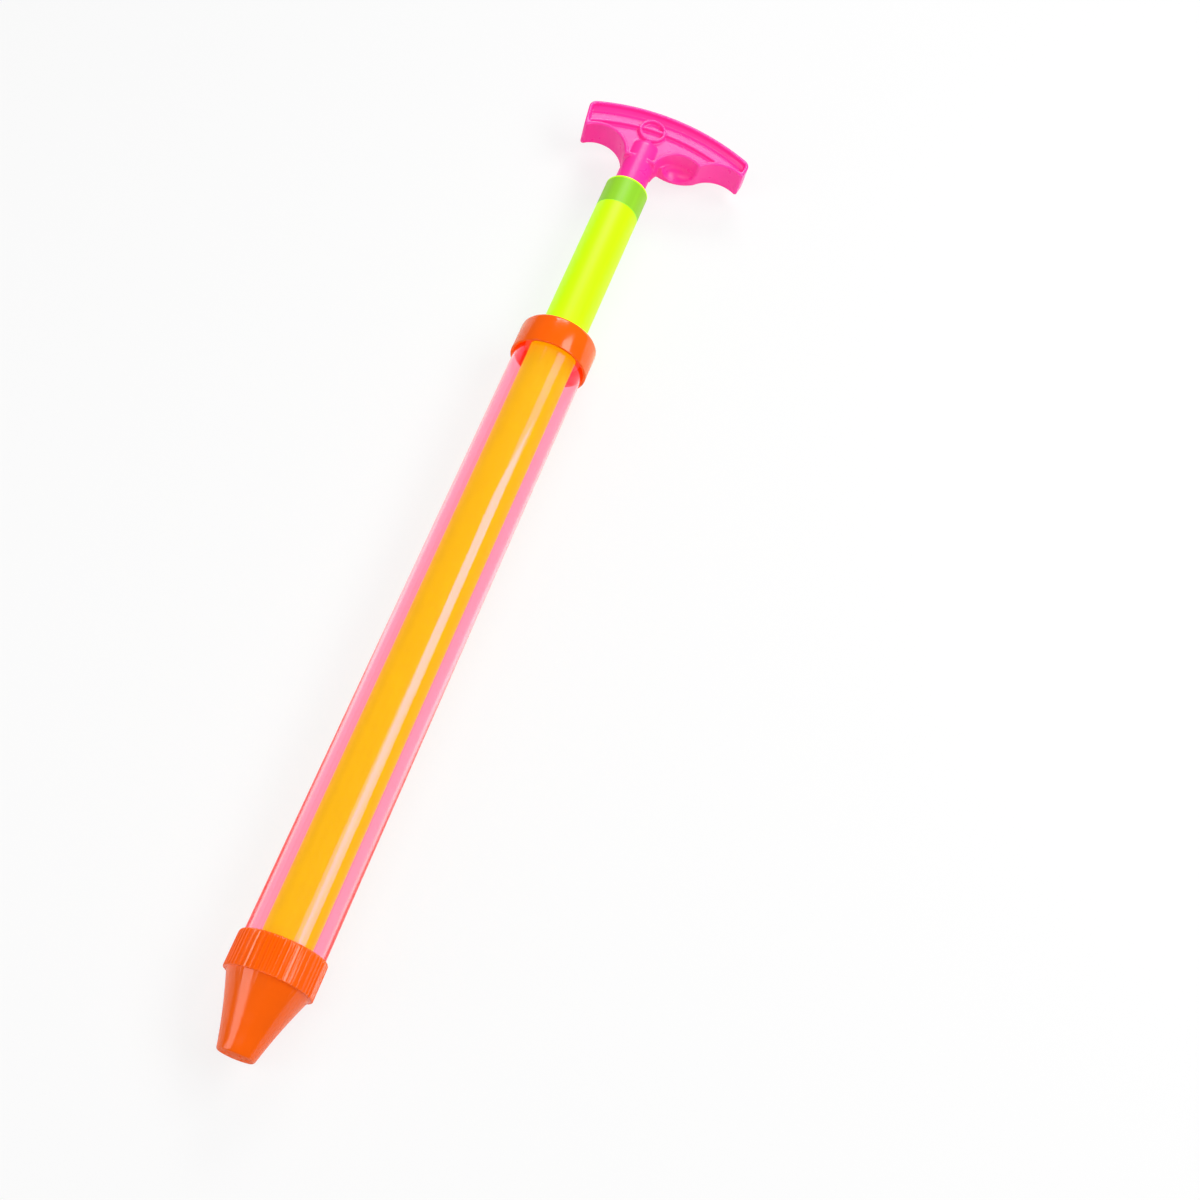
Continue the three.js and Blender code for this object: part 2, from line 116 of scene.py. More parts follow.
class TubeSizes(bpy.types.PropertyGroup):
    """Sizes of the barrel, the rod and what runs inside them."""

    barrel_wall: length("Barrel Wall", 1.5, "Wall of the clear barrel")
    rod_diameter: length("Rod Diameter", 20.4, "Outside diameter of the plunger rod")
    rod_wall: length("Rod Wall", 1.3, "Wall of the plunger rod")
    tube_edge: length("Tube Edge", 0.25, "Round on the cut ends of both tubes")
    slip: length("Slip Gap", 0.3, "Gap between pieces that push together")
    seat: length("Seat Gap", 0.2, "Gap under a seated face")
    ring_section: length("Ring Section", 2.6, "Thickness of the piston's sealing ring")
    ring_gap: length("Ring Running Gap", 0.15, "Gap between the sealing ring and the barrel")
    piston_head: length("Piston Head", 10.5, "Length of the piston's head")
    piston_core: length("Piston Core", 17.0, "Diameter of the recess under the piston's head")
    piston_core_depth: length("Piston Core Depth", 7.0, "Depth of the recess under the head")
    spigot_wall: length("Spigot Wall", 1.8, "Wall of the spigot inside the rod")
    gasket_width: length("Gasket Width", 2.4, "Width of the flat washer")
    peg_diameter: length("Peg Diameter", 10.0, "Diameter of the grip's peg")
    peg_length: length("Peg Length", 12.0, "Length of the grip's peg")


class CapSizes(bpy.types.PropertyGroup):
    """Sizes of the nozzle cap and the end cap."""

    wall: length("Cap Wall", 1.3, "Wall of both caps over the barrel")
    skirt: length("Nozzle Skirt", 14.5, "Length of the nozzle cap's ribbed skirt")
    skirt_round: length("Skirt Round", 1.5, "Round on the skirt's edge by the barrel")
    cone_step: length("Cone Step", 1.4, "Step from the skirt in to the cone")
    cone_hollow: length("Cone Hollow", 0.55, "How far the cone's side bows in")
    cone_wall: length("Cone Wall", 2.0, "Wall of the cone")
    tip_diameter: length("Tip Diameter", 14.6, "Diameter of the flat tip")
    tip_round: length("Tip Round", 0.7, "Round on the tip's edge")
    tip_plate: length("Tip Plate", 2.0, "Thickness of the spray plate")
    spray_hole: length("Spray Hole", 1.6, "Diameter of each spray hole")
    spray_circle: length("Spray Circle", 9.0, "Diameter of the circle of spray holes")
    shelf: length("Shelf", 1.2, "Thickness of the shelf under the washer")
    rib_height: length("Rib Height", 0.5, "Height of the skirt's ribs")
    end_plate: length("End Plate", 2.5, "Thickness of the end cap's plate")
    end_round: length("End Round", 2.0, "Round on the end cap's outer edge")
    guide_length: length("Guide Length", 8.0, "Length of the guide collar inside the end cap")
    guide_wall: length("Guide Wall", 2.0, "Wall of the guide collar")
    edge: length("Small Edge", 0.3, "Round on the caps' small edges")
    rib_count: bpy.props.IntProperty(
        name="Ribs", description="Number of ribs on the skirt", default=50, min=12
    )
    spray_count: bpy.props.IntProperty(
        name="Spray Holes", description="Number of spray holes", default=6, min=1
    )


class GripSizes(bpy.types.PropertyGroup):
    """Sizes of the moulded grip, across from the pump's axis and up from the rod's end."""

    span: length("Span", 81.2, "Length of the grip from end to end")
    thickness: length("Thickness", 14.0, "Thickness of the bar")
    height: length("Height", 45.2, "Height of the arched back over the rod's end")
    offset: length("Offset", 8.1, "Distance of the bar's middle from the pump's axis")
    arch_radius: length("Arch Radius", 100.0, "Radius of the arched back")
    arch_corner: length("Arch Corner", 4.0, "Round at each end of the back")
    foot_round: length("Foot Round", 1.2, "Round at the arms' feet and the cusp")
    stem_diameter: length("Stem Diameter", 15.0, "Diameter of the round stem")
    stem_reach: length("Stem Reach", 27.4, "How far the stem runs up the bar")
    stem_end: length("Stem End", 3.0, "Round on the stem's upper end")
    bar_foot: length("Bar Foot", 15.0, "Height of the bar's lower edge beside the stem")
    single_radius: length("Single Scallop", 12.8, "Radius of the short arm's scallop")
    single_top: length("Single Scallop Top", 25.5, "Height of the short arm's scallop")
    inner_radius: length("Inner Scallop", 12.0, "Radius of the long arm's inner scallop")
    inner_top: length("Inner Scallop Top", 25.9, "Height of the long arm's inner scallop")
    outer_radius: length("Outer Scallop", 15.0, "Radius of the long arm's outer scallop")
    outer_top: length("Outer Scallop Top", 29.5, "Height of the long arm's outer scallop")
    finger_pitch: length("Finger Pitch", 19.6, "Distance between the long arm's scallops")
    rim: length("Rim", 1.8, "Width of the rim round the panels")
    arch_rim: length("Arch Rim", 1.6, "Width of the rim along the back")
    upper_depth: length("Upper Panel", 3.4, "Depth of the panel under the back")
    upper_slope: length("Upper Slope", 1.9, "Run of the sloped wall under the back")
    lower_depth: length("Lower Panel", 2.2, "Depth of the panels beside the stem")
    rib_width: length("Rib Width", 1.5, "Width of the curved rib")
    rib_top: length("Rib Top", 34.9, "Height of the curved rib's middle")
    rib_radius: length("Rib Radius", 85.0, "Radius of the curved rib")
    rib_drop: length("Rib Drop", 0.6, "How far the rib lies under the rim")
    ring_diameter: length("Ring Diameter", 13.0, "Outside diameter of the ring")
    ring_wall: length("Ring Wall", 1.4, "Wall of the ring")
    ring_height: length("Ring Height", 33.8, "Height of the ring's middle")
    ring_drop: length("Ring Drop", 0.3, "How far the ring lies under the rim")
    web_radius: length("Web Radius", 20.1, "Radius of the web's foot in the inner scallop")
    web_depth: length("Web Depth", 6.5, "How far the web hangs under the inner scallop's top")
    web_shift: length("Web Shift", 4.9, "How far the web's lowest point lies towards the stem")
    dish_length: length("Dish Length", 17.0, "Length of the dish in the web's upper side")
    dish_depth: length("Dish Depth", 5.5, "Depth of the dish in the web's upper side")
    edge: length("Edge", 0.6, "Round on the bar's edges")
    grain: length("Mesh Grain", 0.32, "Fineness of the grip's surface")
    lean: bpy.props.FloatProperty(
        name="End Lean",
        description="How far the ends lean in towards the rod",
        default=math.radians(7.5),
        subtype="ANGLE",
        unit="ROTATION",
    )
    turn: bpy.props.FloatProperty(
        name="Plunger Turn",
        description="How far the plunger is turned about its axis at rest",
        default=math.radians(4.0),
        subtype="ANGLE",
        unit="ROTATION",
    )


class Finishes(bpy.types.PropertyGroup):
    """Colours of the plastics and the rubber."""

    caps: colour("Caps", (1.0, 0.125, 0.0), "Orange of the caps and the piston")
    barrel: colour("Barrel", (1.0, 0.55, 0.675), "Tint of the clear barrel")
    rod: colour("Rod", (0.48, 0.95, 0.0), "Lime of the rod")
    plug: colour("Plug", (0.22, 0.5, 0.02), "Green of the plug in the rod's end")
    grip: colour("Grip", (1.0, 0.032, 0.36), "Pink of the grip")
    rubber: colour("Rubber", (0.022, 0.022, 0.025), "Black of the washer and the ring")


# How finely round shapes are divided.
TUBE_STEPS = 192
STEM_STEPS = 96
ROUND_STEPS = 4
SEAL_SIDES = 20
# Vertices closer than this are one vertex.
MERGE = 1e-6
# Edges bent by more than this stay sharp.
SHARP_ANGLE = math.radians(40.0)


def on_axis(radius, station):
    """The point at a radius over the pump's axis, before a profile is turned."""
    return Vector((station, AXIS_Y, AXIS_Z + radius))


def smooth_shade(mesh):
    """Shades a mesh smooth but for its sharp edges."""
    mesh.shade_smooth()
    mesh.set_sharp_from_angle(angle=SHARP_ANGLE)


def new_object(name, bm):
    """A bmesh as a finished object at the origin, shaded smooth."""
    mesh = bpy.data.meshes.new(name)
    bm.to_mesh(mesh)
    bm.free()
    smooth_shade(mesh)
    piece = bpy.data.objects.new(name, mesh)
    bpy.context.scene.collection.objects.link(piece)
    return piece


def profile_mesh(corners, closed):
    """A bmesh with a profile of (radius, station, round) corners, rounded at each corner."""
    bm = bmesh.new()
    verts = [bm.verts.new(on_axis(radius, station)) for radius, station, _ in corners]
    for first, second in zip(verts, verts[1:]):
        bm.edges.new((first, second))
    if closed:
        bm.edges.new((verts[-1], verts[0]))
    for rounding in sorted({corner[2] for corner in corners if corner[2] > 0}):
        bmesh.ops.bevel(
            bm,
            geom=[vert for vert, corner in zip(verts, corners) if corner[2] == rounding],
            offset=rounding,
            offset_type="OFFSET",
            affect="VERTICES",
            segments=ROUND_STEPS,
            profile=0.5,
            material=-1,
        )
    return bm


def turn_profile(bm, steps):
    """Turns a profile right round the pump's axis into a closed solid."""
    bmesh.ops.spin(
        bm,
        geom=bm.verts[:] + bm.edges[:],
        cent=(0.0, AXIS_Y, AXIS_Z),
        axis=(1.0, 0.0, 0.0),
        angle=2 * math.pi,
        steps=steps,
        use_merge=True,
    )
    bmesh.ops.remove_doubles(bm, verts=bm.verts, dist=MERGE)
    bmesh.ops.recalc_face_normals(bm, faces=bm.faces)


def turned_piece(name, corners, closed=True):
    """A piece turned from a profile."""
    bm = profile_mesh(corners, closed)
    turn_profile(bm, TUBE_STEPS)
    return new_object(name, bm)


def tube_corners(inner, outer, ends, edge):
    """Profile of a plain tube with rounded ends."""
    start, end = ends
    return [
        (inner, start, edge),
        (outer, start, edge),
        (outer, end, edge),
        (inner, end, edge),
    ]


def combine(piece, other, operation):
    """Joins or cuts a piece by another, which is used up."""
    modifier = piece.modifiers.new(operation.title(), "BOOLEAN")
    modifier.operation = operation
    modifier.solver = "EXACT"
    modifier.object = other
    apply_modifiers(piece)
    bpy.data.objects.remove(other)


def apply_modifiers(piece):
    """Bakes a piece's modifiers into its mesh."""
    bpy.context.view_layer.update()
    depsgraph = bpy.context.evaluated_depsgraph_get()
    baked = bpy.data.meshes.new_from_object(piece.evaluated_get(depsgraph))
    baked.name = piece.name
    piece.modifiers.clear()
    old = piece.data
    piece.data = baked
    bpy.data.meshes.remove(old)


# The middle part of a noise pattern, which is spread over the whole range of a look.
PATTERN_LOW = 0.25
PATTERN_HIGH = 0.75
# Streaks along the drawn tubes: pattern size, detail and stretch along X, Y and Z.
STREAK_SCALE = 40.0
STREAK_DETAIL = 3.0
STREAK_STRETCH = (0.04, 8.0, 8.0)
# Height of the fine relief on the moulded plastics and the rubber.
RELIEF_HEIGHT = 0.05 * MM


def shader(name):
    """A new material, its node tree and its one surface shader."""
    material = bpy.data.materials.new(name)
    material.use_nodes = True
    tree = material.node_tree
    return material, tree, tree.nodes["Principled BSDF"]


def noise(tree, scale, detail=2.0, stretch=(1.0, 1.0, 1.0)):
    """A noise pattern on the piece's own coordinates, stretched along its axes."""
    place = tree.nodes.new("ShaderNodeTexCoord")
    mapping = tree.nodes.new("ShaderNodeMapping")
    mapping.inputs["Scale"].default_value = stretch
    pattern = tree.nodes.new("ShaderNodeTexNoise")
    pattern.inputs["Scale"].default_value = scale
    pattern.inputs["Detail"].default_value = detail
    tree.links.new(place.outputs["Object"], mapping.inputs["Vector"])
    tree.links.new(mapping.outputs["Vector"], pattern.inputs["Vector"])
    return pattern.outputs["Fac"]


def drawn_streaks(tree):
    """Faint streaks along a drawn tube."""
    return noise(tree, STREAK_SCALE, STREAK_DETAIL, STREAK_STRETCH)


def spread(tree, value, low, high):
    """A pattern's middle part spread between two values."""
    ranged = tree.nodes.new("ShaderNodeMapRange")
    ranged.interpolation_type = "SMOOTHSTEP"
    ranged.inputs["From Min"].default_value = PATTERN_LOW
    ranged.inputs["From Max"].default_value = PATTERN_HIGH
    ranged.inputs["To Min"].default_value = low
    ranged.inputs["To Max"].default_value = high
    tree.links.new(value, ranged.inputs["Value"])
    return ranged.outputs["Result"]


def shades(tree, value, low, high):
    """A pattern's middle part as a blend of two colours."""
    ramp = tree.nodes.new("ShaderNodeValToRGB")
    ramp.color_ramp.interpolation = "EASE"
    ramp.color_ramp.elements[0].position = PATTERN_LOW
    ramp.color_ramp.elements[0].color = (*low, 1.0)
    ramp.color_ramp.elements[1].position = PATTERN_HIGH
    ramp.color_ramp.elements[1].color = (*high, 1.0)
    tree.links.new(value, ramp.inputs["Fac"])
    return ramp.outputs["Color"]


def along_axis(tree, start, end, low, high):
    """A value that runs from low to high between two stations along the pump's axis."""
    place = tree.nodes.new("ShaderNodeTexCoord")
    split = tree.nodes.new("ShaderNodeSeparateXYZ")
    ranged = tree.nodes.new("ShaderNodeMapRange")
    ranged.inputs["From Min"].default_value = start
    ranged.inputs["From Max"].default_value = end
    ranged.inputs["To Min"].default_value = low
    ranged.inputs["To Max"].default_value = high
    tree.links.new(place.outputs["Object"], split.inputs["Vector"])
    tree.links.new(split.outputs["X"], ranged.inputs["Value"])
    return ranged.outputs["Result"]


def relief(tree, value, strength):
    """A pattern as a fine relief."""
    bump = tree.nodes.new("ShaderNodeBump")
    bump.inputs["Strength"].default_value = strength
    bump.inputs["Distance"].default_value = RELIEF_HEIGHT
    tree.links.new(value, bump.inputs["Height"])
    return bump.outputs["Normal"]


def darker(tint, amount):
    """A colour brought down by an amount."""
    return tuple(channel * (1.0 - amount) for channel in tint)


# Moulded plastic: shading where it flowed, patches of gloss and a fine skin.
FLOW_SCALE = 60.0
FLOW_DETAIL = 3.0
FLOW_SHADE = 0.06
GLOSS_SCALE = 220.0
GLOSS_SPREAD = 0.03
SKIN_SCALE = 900.0
SKIN_BUMP = 0.04
PLASTIC_IOR = 1.49
# The nozzle's flat tip is dull, and the plastic is glossy from just behind it.
TIP_ROUGHNESS = 0.7
TIP_DULL_X = TIP_X + 0.05 * MM
TIP_GLOSS_X = TIP_X + 0.2 * MM


def moulded_plastic(name, tint, roughness, painted_glow):
    """Bright moulded plastic: slight flow shading, a fine skin and a faint painted glow that
    brightens its shade.
    """
    material, tree, surface = shader(name)
    flow = noise(tree, FLOW_SCALE, FLOW_DETAIL)
    skin = noise(tree, SKIN_SCALE)
    flowed = shades(tree, flow, darker(tint, FLOW_SHADE), tint)
    patches = noise(tree, GLOSS_SCALE)
    rough = spread(tree, patches, roughness - GLOSS_SPREAD, roughness + GLOSS_SPREAD)
    tip = along_axis(tree, TIP_DULL_X, TIP_GLOSS_X, TIP_ROUGHNESS, 0.0)
    duller = tree.nodes.new("ShaderNodeMath")
    duller.operation = "MAXIMUM"
    tree.links.new(flowed, surface.inputs["Base Color"])
    tree.links.new(rough, duller.inputs[0])
    tree.links.new(tip, duller.inputs[1])
    tree.links.new(duller.outputs[0], surface.inputs["Roughness"])
    tree.links.new(relief(tree, skin, SKIN_BUMP), surface.inputs["Normal"])
    surface.inputs["IOR"].default_value = PLASTIC_IOR
    # The emission is painted light: a glow in the plastic's own colour that brightens its shade.
    surface.inputs["Emission Color"].default_value = (*tint, 1.0)
    surface.inputs["Emission Strength"].default_value = painted_glow
    return material


# The barrel's wall bends light less than real plastic does, so that its edges stay pink. Its
# highlight is raised to that of real plastic, with a pink tint from inside the wall.
CLEAR_IOR = 1.19
CLEAR_HIGHLIGHT = (5.2, 2.3, 7.2, 1.0)
CLEAR_ROUGHNESS = (0.05, 0.09)
CLEAR_SHADE = 0.03
# A faint painted red glow in the wall, which warms the barrel and the rod seen through it.
CLEAR_PAINTED_GLOW_TINT = (1.0, 0.03, 0.0, 1.0)
CLEAR_PAINTED_GLOW = 0.15


def clear_plastic(name, tint):
    """Clear drawn tube: tinted all through, with faint streaks along its length and a faint painted
    red glow.
    """
    material, tree, surface = shader(name)
    streaks = drawn_streaks(tree)
    streaked = shades(tree, streaks, darker(tint, CLEAR_SHADE), tint)
    tree.links.new(spread(tree, streaks, *CLEAR_ROUGHNESS), surface.inputs["Roughness"])
    tree.links.new(streaked, surface.inputs["Base Color"])
    surface.inputs["IOR"].default_value = CLEAR_IOR
    surface.inputs["Transmission Weight"].default_value = 1.0
    surface.inputs["Specular Tint"].default_value = CLEAR_HIGHLIGHT
    # The emission paints a faint red glow into the clear wall.
    surface.inputs["Emission Color"].default_value = CLEAR_PAINTED_GLOW_TINT
    surface.inputs["Emission Strength"].default_value = CLEAR_PAINTED_GLOW
    return material


# The rod's soft gloss, and the stations where the plug's green starts and ends on it.
ROD_ROUGHNESS = (0.34, 0.42)
ROD_IOR = 1.3
# Strength of a painted glow in the rod's own colours, which brightens it in and out of the barrel.
ROD_PAINTED_GLOW = 0.55
ROD_SHADE = 0.04
PLUG_SHADE = 0.08
BAND_START = (PLUG_X[0] - 0.2 * MM, PLUG_X[0] + 0.2 * MM)
BAND_END = (ROD_X[1] - 1.0 * MM, ROD_X[1] - 0.8 * MM)


def rod_plastic(name, tint, plug_tint):
    """Soft-gloss rod: even lime with a painted glow, and the plug showing through its outer end as
    a green band.
    """
    material, tree, surface = shader(name)
    streaks = drawn_streaks(tree)
    lime = shades(tree, streaks, darker(tint, ROD_SHADE), tint)
    green = shades(tree, streaks, darker(plug_tint, PLUG_SHADE), plug_tint)
    band = along_axis(tree, *BAND_START, 0.0, 1.0)
    rim = along_axis(tree, *BAND_END, 1.0, 0.0)
    share = tree.nodes.new("ShaderNodeMath")
    share.operation = "MULTIPLY"
    mix = tree.nodes.new("ShaderNodeMix")
    mix.data_type = "RGBA"
    tree.links.new(band, share.inputs[0])
    tree.links.new(rim, share.inputs[1])
    tree.links.new(share.outputs[0], mix.inputs["Factor"])
    tree.links.new(lime, mix.inputs["A"])
    tree.links.new(green, mix.inputs["B"])
    tree.links.new(mix.outputs["Result"], surface.inputs["Base Color"])
    # The same colours are painted in as a glow.
    tree.links.new(mix.outputs["Result"], surface.inputs["Emission Color"])
    tree.links.new(spread(tree, streaks, *ROD_ROUGHNESS), surface.inputs["Roughness"])
    surface.inputs["IOR"].default_value = ROD_IOR
    surface.inputs["Emission Strength"].default_value = ROD_PAINTED_GLOW
    return material


# Rubber: its grain, the paler colour of the grain's high spots and its dull skin.
GRAIN_SCALE = 700.0
GRAIN_DETAIL = 4.0
GRAIN_BUMP = 0.2
GRAIN_PALE = (0.04, 0.04, 0.043)
RUBBER_ROUGHNESS = (0.55, 0.75)


def rubber(name, tint):
    """Black rubber with a dull, slightly grained skin."""
    material, tree, surface = shader(name)
    grain = noise(tree, GRAIN_SCALE, GRAIN_DETAIL)
    tree.links.new(shades(tree, grain, tint, GRAIN_PALE), surface.inputs["Base Color"])
    tree.links.new(spread(tree, grain, *RUBBER_ROUGHNESS), surface.inputs["Roughness"])
    tree.links.new(relief(tree, grain, GRAIN_BUMP), surface.inputs["Normal"])
    return material


# Each moulded plastic's slot, with the name of its colour, its roughness and its painted glow.
MOULDED = {
    "orange_plastic": ("caps", 0.14, 0.15),
    "pink_plastic": ("grip", 0.3, 0.2),
    "plug_plastic": ("plug", 0.4, 0.0),
}


def finish(context, slot):
    """The material of a slot, made once."""
    name = "dressed_" + slot
    made = bpy.data.materials.get(name)
    if made:
        return made
    tints = context.scene.squirter_finishes
    if slot in MOULDED:
        # The third value is the strength of a painted glow.
        tint, roughness, painted_glow = MOULDED[slot]
        return moulded_plastic(name, tuple(getattr(tints, tint)), roughness, painted_glow)
    if slot == "clear_pink_plastic":
        return clear_plastic(name, tuple(tints.barrel))
    if slot == "lime_plastic":
        return rod_plastic(name, tuple(tints.rod), tuple(tints.plug))
    return rubber(name, tuple(tints.rubber))


def fit_piece(context, piece, body, slot, node):
    """Gives a piece its finish and puts it on its body, in place of its node."""
    piece.data.materials.clear()
    piece.data.materials.append(finish(context, slot))
    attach(piece, body)
    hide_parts(node)


class SQUIRTER_OT_tubes(bpy.types.Operator):
    """Models the clear barrel and the plunger's tube rod"""

    bl_idname = "squirter.tubes"
    bl_label = "Barrel and Rod"

    def execute(self, context):
        sizes = context.scene.squirter_tubes
        inner = BARREL_RADIUS - sizes.barrel_wall
        barrel = turned_piece(
            "clear_barrel", tube_corners(inner, BARREL_RADIUS, BARREL_X, sizes.tube_edge)
        )
        fit_piece(context, barrel, "barrel", "clear_pink_plastic", "barrel_tube")
        outer = sizes.rod_diameter / 2
        rod = turned_piece(
            "plunger_rod", tube_corners(outer - sizes.rod_wall, outer, ROD_X, sizes.tube_edge)
        )
        fit_piece(context, rod, "plunger", "lime_plastic", "rod_tube")
        return {"FINISHED"}


# The steps round each rib. Its crest and then its flank are shares of the ribs' pitch, out from the
# rib's middle, and its crown is the share of its height that the crest falls by.
RIB_STEPS = 14
RIB_CREST = 0.14
RIB_FLANK = 0.14
RIB_CROWN = 0.12
CONE_STEPS = 8
SPRAY_SIDES = 32
# Length of a spray hole's drill, as a multiple of the plate that it goes through.
DRILL_REACH = 3


class SQUIRTER_OT_nozzle(bpy.types.Operator):
    """Models the nozzle cap with its ribbed skirt, cone and spray plate"""

    bl_idname = "squirter.nozzle"
    bl_label = "Nozzle Cap"

    def execute(self, context):
        sizes = context.scene.squirter_caps
        tubes = context.scene.squirter_tubes
        bm = profile_mesh(self.profile(sizes, tubes), closed=False)
        turn_profile(bm, RIB_STEPS * sizes.rib_count)
        self.raise_ribs(bm, sizes)
        cap = new_object("ribbed_nozzle_cap", bm)
        combine(cap, self.spray_drills(sizes), "DIFFERENCE")
        smooth_shade(cap.data)
        fit_piece(context, cap, "barrel", "orange_plastic", "nozzle_cap")
        return {"FINISHED"}

    def profile(self, sizes, tubes):
        """Outside from the tip to the skirt's edge, then the inside back to the tip."""
        tip = sizes.tip_diameter / 2
        skirt_start = SKIRT_X - sizes.skirt
        cone_top = CAP_RADIUS - sizes.cone_step
        bore = CAP_RADIUS - sizes.wall
        chamber = BARREL_RADIUS - tubes.gasket_width
        outside = self.cone(tip, cone_top, TIP_X, skirt_start, sizes.cone_hollow)
        inside = self.cone(
            tip - sizes.cone_wall, chamber, TIP_X + sizes.tip_plate, skirt_start, sizes.cone_hollow
        )
        shelf = skirt_start + sizes.shelf
        return [
            (0.0, TIP_X, 0.0),
            (tip, TIP_X, sizes.tip_round),
            *outside[1:],
            (CAP_RADIUS, skirt_start, sizes.edge),
            (CAP_RADIUS, SKIRT_X, sizes.skirt_round),
            (bore, SKIRT_X, sizes.edge),
            (bore, shelf, 0.0),
            (chamber, shelf, 0.0),
            *reversed(inside[1:]),
            (tip - sizes.cone_wall, TIP_X + sizes.tip_plate, 0.0),
            (0.0, TIP_X + sizes.tip_plate, 0.0),
        ]

    def cone(self, start_radius, end_radius, start, end, hollow):
        """Points up a cone whose side bows in by the hollow at its middle."""
        points = []
        for step in range(CONE_STEPS + 1):
            share = step / CONE_STEPS
            bow = 4 * hollow * share * (1 - share)
            radius = start_radius + (end_radius - start_radius) * share - bow
            points.append((radius, start + (end - start) * share, 0.0))
        return points

    def raise_ribs(self, bm, sizes):
        """Sinks the skirt's outside between its ribs."""
        pitch = 2 * math.pi / sizes.rib_count
        root = CAP_RADIUS - sizes.skirt_round
        skirt_start = SKIRT_X - sizes.skirt
        for vert in bm.verts:
            across = vert.co.y - AXIS_Y
            up = vert.co.z - AXIS_Z
            radius = math.hypot(across, up)
            if vert.co.x < skirt_start - MERGE or radius <= root:
                continue
            place = abs((math.atan2(across, up) / pitch + 0.5) % 1.0 - 0.5)
            crest = min(place / RIB_CREST, 1.0)
            flank = min(max((place - RIB_CREST) / RIB_FLANK, 0.0), 1.0)
            valley = RIB_CROWN * crest**2 + (1 - RIB_CROWN) * flank**2 * (3 - 2 * flank)
            reach = min((radius - root) / sizes.rib_height, 1.0)
            new_radius = radius - sizes.rib_height * valley * reach
            vert.co.y = AXIS_Y + across * new_radius / radius
            vert.co.z = AXIS_Z + up * new_radius / radius

    def spray_drills(self, sizes):
        """The drills of all the spray holes, as one piece."""
        bm = bmesh.new()
        for hole in range(sizes.spray_count):
            angle = 2 * math.pi * hole / sizes.spray_count
            centre = on_axis(0.0, TIP_X + sizes.tip_plate / 2)
            centre.y += sizes.spray_circle / 2 * math.cos(angle)
            centre.z += sizes.spray_circle / 2 * math.sin(angle)
            bmesh.ops.create_cone(
                bm,
                cap_ends=True,
                segments=SPRAY_SIDES,
                radius1=sizes.spray_hole / 2,
                radius2=sizes.spray_hole / 2,
                depth=DRILL_REACH * sizes.tip_plate,
                matrix=Matrix.Translation(centre) @ Matrix.Rotation(math.pi / 2, 4, "Y"),
            )
        return new_object("spray_drills", bm)


class SQUIRTER_OT_end_cap(bpy.types.Operator):
    """Models the end cap with its rounded edge and the rod's guide collar"""

    bl_idname = "squirter.end_cap"
    bl_label = "End Cap"

    def execute(self, context):
        sizes = context.scene.squirter_caps
        tubes = context.scene.squirter_tubes
        bore = CAP_RADIUS - sizes.wall
        hole = tubes.rod_diameter / 2 + tubes.slip
        plate = END_CAP_X - sizes.end_plate
        guide = hole + sizes.guide_wall
        cap = turned_piece(
            "rod_end_cap",
            [
                (bore, LIP_X, sizes.edge),
                (CAP_RADIUS, LIP_X, sizes.edge),
                (CAP_RADIUS, END_CAP_X, sizes.end_round),
                (hole, END_CAP_X, sizes.edge),
                (hole, plate - sizes.guide_length, sizes.edge),
                (guide, plate - sizes.guide_length, sizes.edge),
                (guide, plate, 0.0),
                (bore, plate, 0.0),
            ],
        )
        fit_piece(context, cap, "barrel", "orange_plastic", "end_cap")
        return {"FINISHED"}


class SQUIRTER_OT_seals(bpy.types.Operator):
    """Models the washer under the barrel and the piston's sealing ring"""

    bl_idname = "squirter.seals"
    bl_label = "Washer and Sealing Ring"

    def execute(self, context):
        tubes = context.scene.squirter_tubes
        inner = BARREL_RADIUS - tubes.gasket_width
        washer = turned_piece(
            "flat_washer", tube_corners(inner, BARREL_RADIUS, GASKET_X, tubes.tube_edge)
        )
        fit_piece(context, washer, "barrel", "black_rubber", "nozzle_gasket")

        half = tubes.ring_section / 2
        middle = BARREL_RADIUS - tubes.barrel_wall - tubes.ring_gap - half
        bm = bmesh.new()
        bmesh.ops.create_circle(
            bm,
            segments=SEAL_SIDES,
            radius=half,
            matrix=Matrix.Translation(on_axis(middle, sum(RING_X) / 2))
            @ Matrix.Rotation(math.pi / 2, 4, "X"),
        )
        turn_profile(bm, TUBE_STEPS)
        ring = new_object("sealing_ring", bm)
        fit_piece(context, ring, "seal", "black_rubber", "piston_ring")
        return {"FINISHED"}


